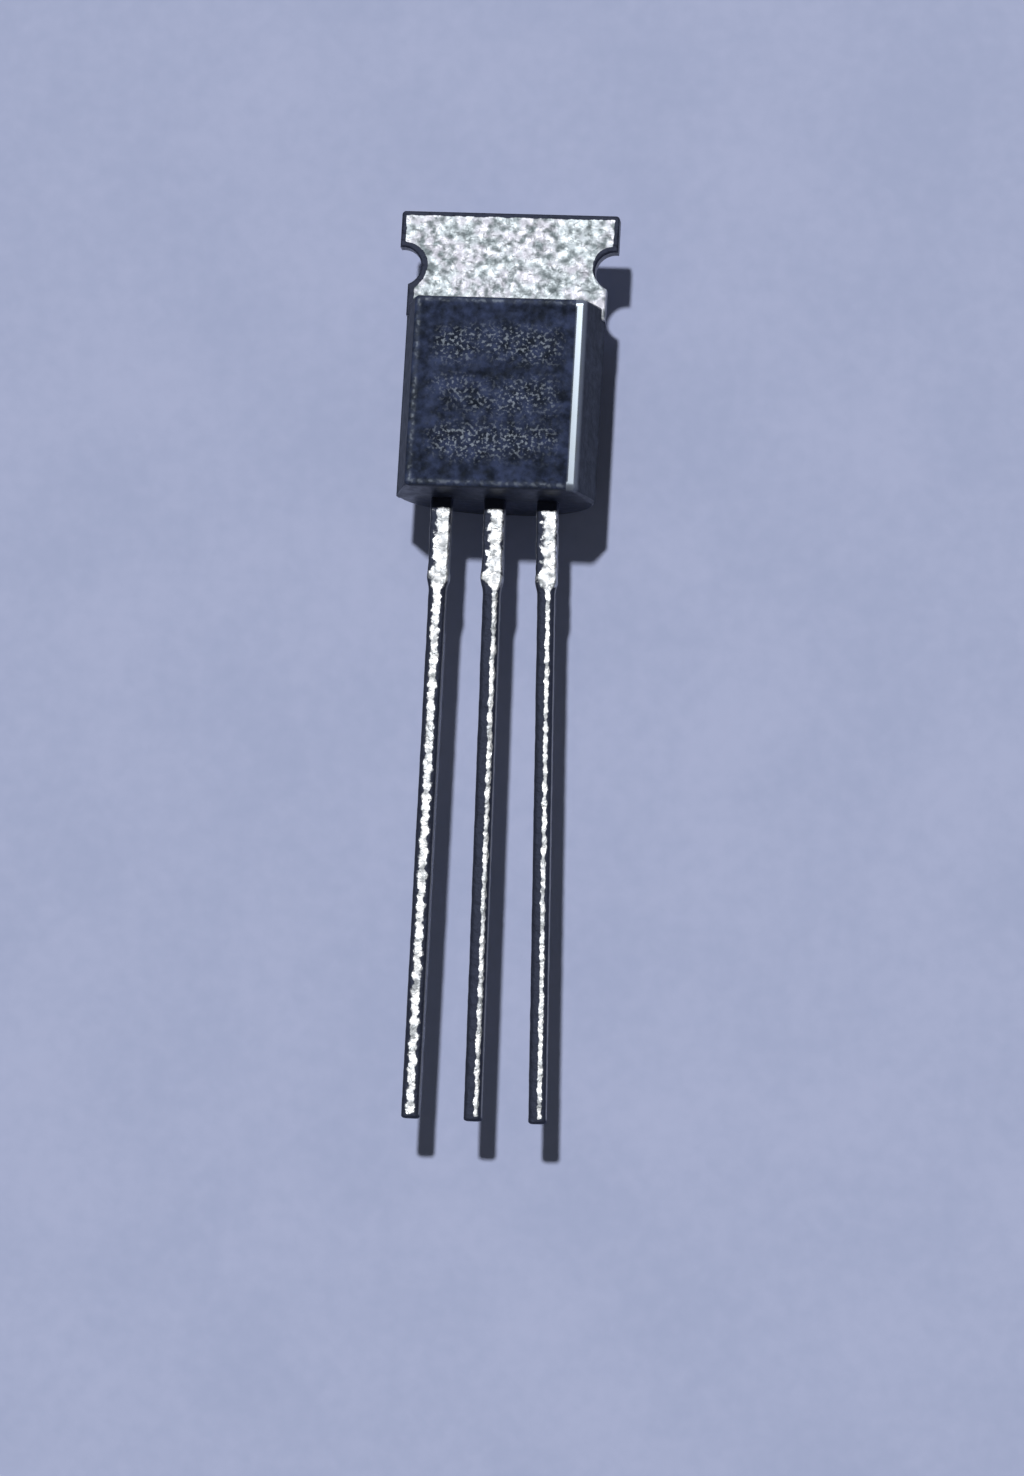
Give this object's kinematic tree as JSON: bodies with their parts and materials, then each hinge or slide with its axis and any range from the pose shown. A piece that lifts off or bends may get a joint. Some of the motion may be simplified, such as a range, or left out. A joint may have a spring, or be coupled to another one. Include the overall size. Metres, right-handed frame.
{
  "type": "to-92 type transistor with a heat tab",
  "caption": "Small black moulded transistor with a flat front and round back, a bright notched heat tab at one end and a row of long, slightly splayed leads at the other.",
  "frame": {"origin": "under the middle of the overall box, on the surface that the part lies on", "axes": "+Z out of the front flat, +Y along the body from the leads to the heat tab, +X across the row of leads toward the drain lead"},
  "size_m": [0.0052, 0.0218, 0.0034],
  "materials": {
    "epoxy": "satin",
    "tinned_metal": "satin",
    "silicon": "polished",
    "bond_wire": "satin"
  },
  "bodies": {
    "root": {"moulded_body": "epoxy", "drain_frame": "tinned_metal", "gate_lead": "tinned_metal", "source_lead": "tinned_metal", "silicon_die": "silicon", "gate_bond_wire": "bond_wire", "source_bond_wire": "bond_wire"}
  },
  "joints": []
}
